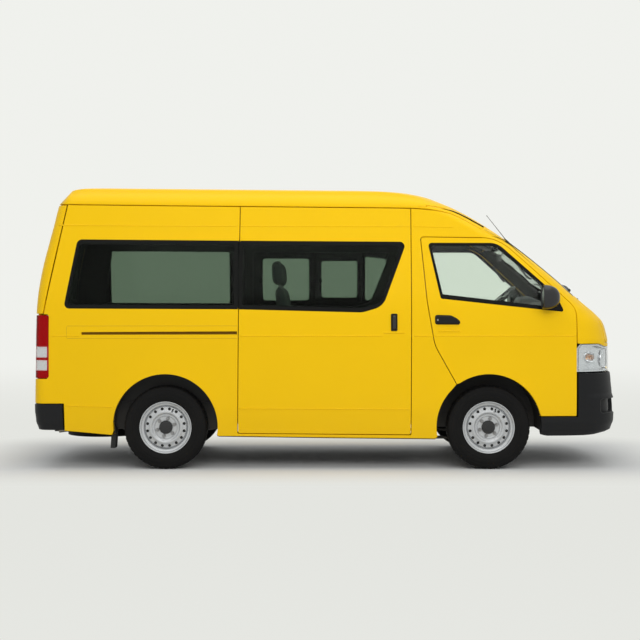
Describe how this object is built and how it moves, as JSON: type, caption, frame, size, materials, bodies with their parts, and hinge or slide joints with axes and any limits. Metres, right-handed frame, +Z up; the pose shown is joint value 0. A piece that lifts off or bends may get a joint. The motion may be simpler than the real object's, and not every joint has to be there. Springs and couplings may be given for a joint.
{
  "type": "high-roof minibus",
  "caption": "High-roof forward-control minibus with hinged front doors, tailgate, service lid and steering, on rolling steel wheels.",
  "frame": {"origin": "centre of the vehicle's box, on the floor under it", "axes": "+X forwards along the vehicle, +Y to its left, +Z up"},
  "size_m": [4.74, 1.98, 2.2672],
  "materials": {
    "body_paint": "gloss",
    "black_plastic": "satin",
    "tinted_glass": "gloss",
    "clear_glass": "gloss",
    "tyre_rubber": "matte",
    "wheel_silver": "satin",
    "chassis_black": "satin",
    "bare_steel": "rough",
    "exhaust_steel": "satin",
    "headlamp_lens": "gloss",
    "tail_lens": "gloss",
    "trim_plastic": "matte",
    "seat_fabric": "woven",
    "soft_rubber": "matte"
  },
  "bodies": {
    "body": {"roof": "body_paint", "right_side": "body_paint", "left_side": "body_paint", "front_panel": "body_paint", "sliding_door": "body_paint", "floor_pan": "chassis_black", "cowl": "black_plastic", "slide_rail": "black_plastic", "front_bumper": "black_plastic", "rear_bumper": "black_plastic", "grille": "black_plastic", "wipers": "black_plastic", "antenna": "black_plastic", "side_glass": "tinted_glass", "sliding_door_glass": "tinted_glass", "windscreen": "clear_glass", "headlamps": "headlamp_lens", "tail_lamps": "tail_lens", "mudflaps": "soft_rubber", "chassis_frame": "chassis_black", "fuel_tank": "chassis_black", "front_suspension": "chassis_black", "rear_axle": "chassis_black", "engine": "bare_steel", "exhaust": "exhaust_steel", "spare_wheel": "tyre_rubber", "dashboard": "trim_plastic", "front_seats": "seat_fabric", "second_row_seats": "seat_fabric", "third_row_seats": "seat_fabric"},
    "right_door": {"right_door": "body_paint", "right_door_glass": "clear_glass", "right_door_mirror": "black_plastic"},
    "left_door": {"left_door": "body_paint", "left_door_glass": "clear_glass", "left_door_mirror": "black_plastic"},
    "tailgate": {"tailgate": "body_paint", "tailgate_glass": "tinted_glass"},
    "bonnet_lid": {"bonnet_lid": "body_paint"},
    "right_knuckle": {"right_knuckle": "bare_steel"},
    "left_knuckle": {"left_knuckle": "bare_steel"},
    "steering_wheel": {"steering_wheel": "trim_plastic"},
    "track_rod": {"track_rod": "bare_steel"},
    "front_right_wheel": {"front_right_tyre": "tyre_rubber", "front_right_rim": "wheel_silver"},
    "front_left_wheel": {"front_left_tyre": "tyre_rubber", "front_left_rim": "wheel_silver"},
    "rear_right_wheel": {"rear_right_tyre": "tyre_rubber", "rear_right_rim": "wheel_silver"},
    "rear_left_wheel": {"rear_left_tyre": "tyre_rubber", "rear_left_rim": "wheel_silver"}
  },
  "joints": [
    {"name": "right_door_hinge", "type": "hinge", "parent": "body", "child": "right_door", "pos_m": [1.98, -0.846, 0.8], "axis": [0, 0, 1], "range_deg": [0, 65]},
    {"name": "left_door_hinge", "type": "hinge", "parent": "body", "child": "left_door", "pos_m": [1.98, 0.846, 0.8], "axis": [0, 0, -1], "range_deg": [0, 65]},
    {"name": "tailgate_hinge", "type": "hinge", "parent": "body", "child": "tailgate", "pos_m": [-2.167, 0, 2.11], "axis": [0, 1, 0], "range_deg": [0, 85]},
    {"name": "bonnet_lid_hinge", "type": "hinge", "parent": "body", "child": "bonnet_lid", "pos_m": [1.984, 0, 1.381], "axis": [0, -1, 0], "range_deg": [0, 50]},
    {"name": "left_steer", "type": "hinge", "parent": "body", "child": "left_knuckle", "pos_m": [1.285, 0.675, 0.332], "axis": [0, 0, 1], "range_deg": [-35, 35]},
    {"name": "right_steer", "type": "hinge", "parent": "body", "child": "right_knuckle", "pos_m": [1.285, -0.675, 0.332], "axis": [0, 0, 1], "range_deg": [-35, 35]},
    {"name": "front_left_spin", "type": "hinge", "parent": "left_knuckle", "child": "front_left_wheel", "pos_m": [1.285, 0.735, 0.332], "axis": [0, 1, 0], "continuous": true},
    {"name": "front_right_spin", "type": "hinge", "parent": "right_knuckle", "child": "front_right_wheel", "pos_m": [1.285, -0.735, 0.332], "axis": [0, 1, 0], "continuous": true},
    {"name": "rear_left_spin", "type": "hinge", "parent": "body", "child": "rear_left_wheel", "pos_m": [-1.285, 0.735, 0.332], "axis": [0, 1, 0], "continuous": true},
    {"name": "rear_right_spin", "type": "hinge", "parent": "body", "child": "rear_right_wheel", "pos_m": [-1.285, -0.735, 0.332], "axis": [0, 1, 0], "continuous": true},
    {"name": "steering_wheel_turn", "type": "hinge", "parent": "body", "child": "steering_wheel", "pos_m": [1.54, 0.43, 1.336], "axis": [-0.6691, 0, 0.7431], "range_deg": [-525.5, 525.5]},
    {"name": "track_rod_slide", "type": "slide", "parent": "body", "child": "track_rod", "axis": [0, 1, 0], "range_m": [-0.0535, 0.0535]}
  ],
  "couplings": [
    {"joint": "right_steer", "follows": "left_steer", "ratio": 1},
    {"joint": "steering_wheel_turn", "follows": "left_steer", "ratio": 15},
    {"joint": "track_rod_slide", "follows": "left_steer", "m_per_rad": -0.0864}
  ]
}
